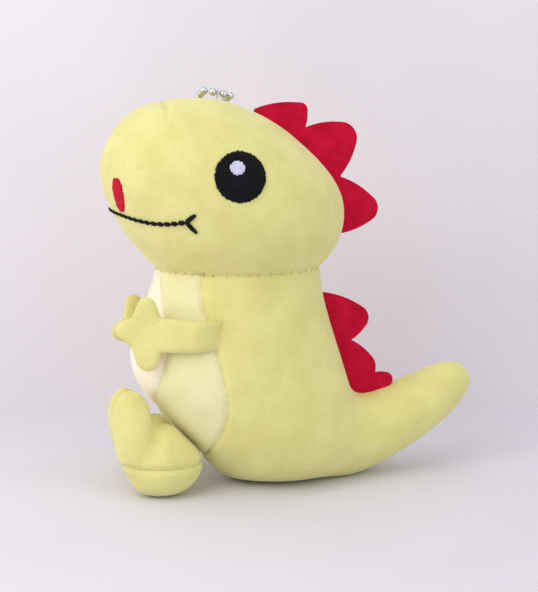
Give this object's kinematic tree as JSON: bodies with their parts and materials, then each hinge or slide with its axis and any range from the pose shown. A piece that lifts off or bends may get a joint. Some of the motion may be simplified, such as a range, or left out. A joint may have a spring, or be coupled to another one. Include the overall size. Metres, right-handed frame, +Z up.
{
  "type": "plush keychain",
  "caption": "Small stuffed dinosaur with felt crests, strap arms and stuffed feet, hung from its head by a ball chain ring.",
  "frame": {"origin": "on the table plane, in the mid-plane of the body, below the front of the neck", "axes": "+Z up as it sits; the animal faces -Y and its left side is +X"},
  "size_m": [0.0634, 0.1168, 0.12],
  "materials": {
    "plush_lime": "short-pile plush, brushed",
    "plush_pale": "short-pile plush, brushed",
    "plush_cream": "short-pile plush, brushed",
    "fibre_filling": "loose polyester fibre",
    "felt_red": "stiff needled felt",
    "thread_black": "satin-stitched embroidery thread",
    "thread_white": "satin-stitched embroidery thread",
    "thread_red": "satin-stitched embroidery thread",
    "thread_lime": "sewing thread",
    "cord": "twisted polyester cord",
    "chain_steel": "bright plated steel"
  },
  "bodies": {
    "plush": {"head_skin_left": "plush_lime", "head_skin_right": "plush_lime", "body_side_left": "plush_lime", "body_side_right": "plush_lime", "body_front_left": "plush_pale", "body_front_right": "plush_pale", "eye_left": "thread_black", "eye_right": "thread_black", "eye_glint_left": "thread_white", "eye_glint_right": "thread_white", "nostril_left": "thread_red", "nostril_right": "thread_red", "head_stuffing": "fibre_filling", "body_stuffing": "fibre_filling", "belly_panel": "plush_cream", "head_crest": "felt_red", "back_crest": "felt_red", "neck_thread": "thread_lime", "mouth_stitching": "thread_black", "hang_loop": "cord"},
    "left_arm": {"arm_outer_left": "plush_lime", "arm_inner_left": "plush_lime"},
    "right_arm": {"arm_outer_right": "plush_lime", "arm_inner_right": "plush_lime"},
    "left_foot": {"foot_upper_left": "plush_lime", "foot_sole_left": "plush_lime", "foot_stuffing_left": "fibre_filling"},
    "right_foot": {"foot_upper_right": "plush_lime", "foot_sole_right": "plush_lime", "foot_stuffing_right": "fibre_filling"},
    "chain_row_1": {"beads_1": "chain_steel", "pins_1": "chain_steel", "loop_pin": "chain_steel"},
    "chain_row_2": {"beads_2": "chain_steel", "pins_2": "chain_steel"},
    "chain_row_3": {"beads_3": "chain_steel", "pins_3": "chain_steel"},
    "chain_row_4": {"beads_4": "chain_steel", "pins_4": "chain_steel"},
    "chain_row_5": {"beads_5": "chain_steel", "pins_5": "chain_steel"},
    "chain_row_6": {"beads_6": "chain_steel", "pins_6": "chain_steel"},
    "chain_row_7": {"beads_7": "chain_steel", "pins_7": "chain_steel"},
    "chain_row_8": {"beads_8": "chain_steel", "connector": "chain_steel"}
  },
  "joints": [
    {"name": "arm_left_swing", "type": "hinge", "parent": "plush", "child": "left_arm", "pos_m": [0.0273, -0.0096, 0.0494], "axis": [0, 0, 1], "range_deg": [0, 60]},
    {"name": "arm_right_swing", "type": "hinge", "parent": "plush", "child": "right_arm", "pos_m": [-0.0273, -0.0096, 0.0494], "axis": [0, 0, -1], "range_deg": [0, 60]},
    {"name": "foot_left_splay", "type": "hinge", "parent": "plush", "child": "left_foot", "pos_m": [0.014, -0.013, 0.012], "axis": [0, 0, 1], "range_deg": [-4, 12]},
    {"name": "foot_right_splay", "type": "hinge", "parent": "plush", "child": "right_foot", "pos_m": [-0.014, -0.013, 0.012], "axis": [0, 0, -1], "range_deg": [-4, 12]},
    {"name": "chain_swing", "type": "hinge", "parent": "plush", "child": "chain_row_1", "pos_m": [0, -0.0048, 0.1181], "axis": [0, 0.9816, -0.1908], "range_deg": [0, 110]},
    {"name": "chain_hinge_1", "type": "hinge", "parent": "chain_row_1", "child": "chain_row_2", "pos_m": [-0.00155, -0.00481, 0.11805], "axis": [0, 0.9816, -0.1908], "range_deg": [0, 20]},
    {"name": "chain_hinge_2", "type": "hinge", "parent": "chain_row_2", "child": "chain_row_3", "pos_m": [-0.00452, -0.00486, 0.1178], "axis": [0, 0.9816, -0.1908], "range_deg": [0, 20]},
    {"name": "chain_hinge_3", "type": "hinge", "parent": "chain_row_3", "child": "chain_row_4", "pos_m": [-0.00777, -0.00496, 0.11727], "axis": [0, 0.9816, -0.1908], "range_deg": [0, 20]},
    {"name": "chain_hinge_4", "type": "hinge", "parent": "chain_row_4", "child": "chain_row_5", "pos_m": [-0.01096, -0.00512, 0.11646], "axis": [0, 0.9816, -0.1908], "range_deg": [0, 20]},
    {"name": "chain_hinge_5", "type": "hinge", "parent": "chain_row_5", "child": "chain_row_6", "pos_m": [-0.01407, -0.00533, 0.11538], "axis": [0, 0.9816, -0.1908], "range_deg": [0, 20]},
    {"name": "chain_hinge_6", "type": "hinge", "parent": "chain_row_6", "child": "chain_row_7", "pos_m": [-0.01707, -0.00559, 0.11403], "axis": [0, 0.9816, -0.1908], "range_deg": [0, 20]},
    {"name": "chain_hinge_7", "type": "hinge", "parent": "chain_row_7", "child": "chain_row_8", "pos_m": [-0.01939, -0.00583, 0.11278], "axis": [0, 0.9816, -0.1908], "range_deg": [0, 20]}
  ]
}
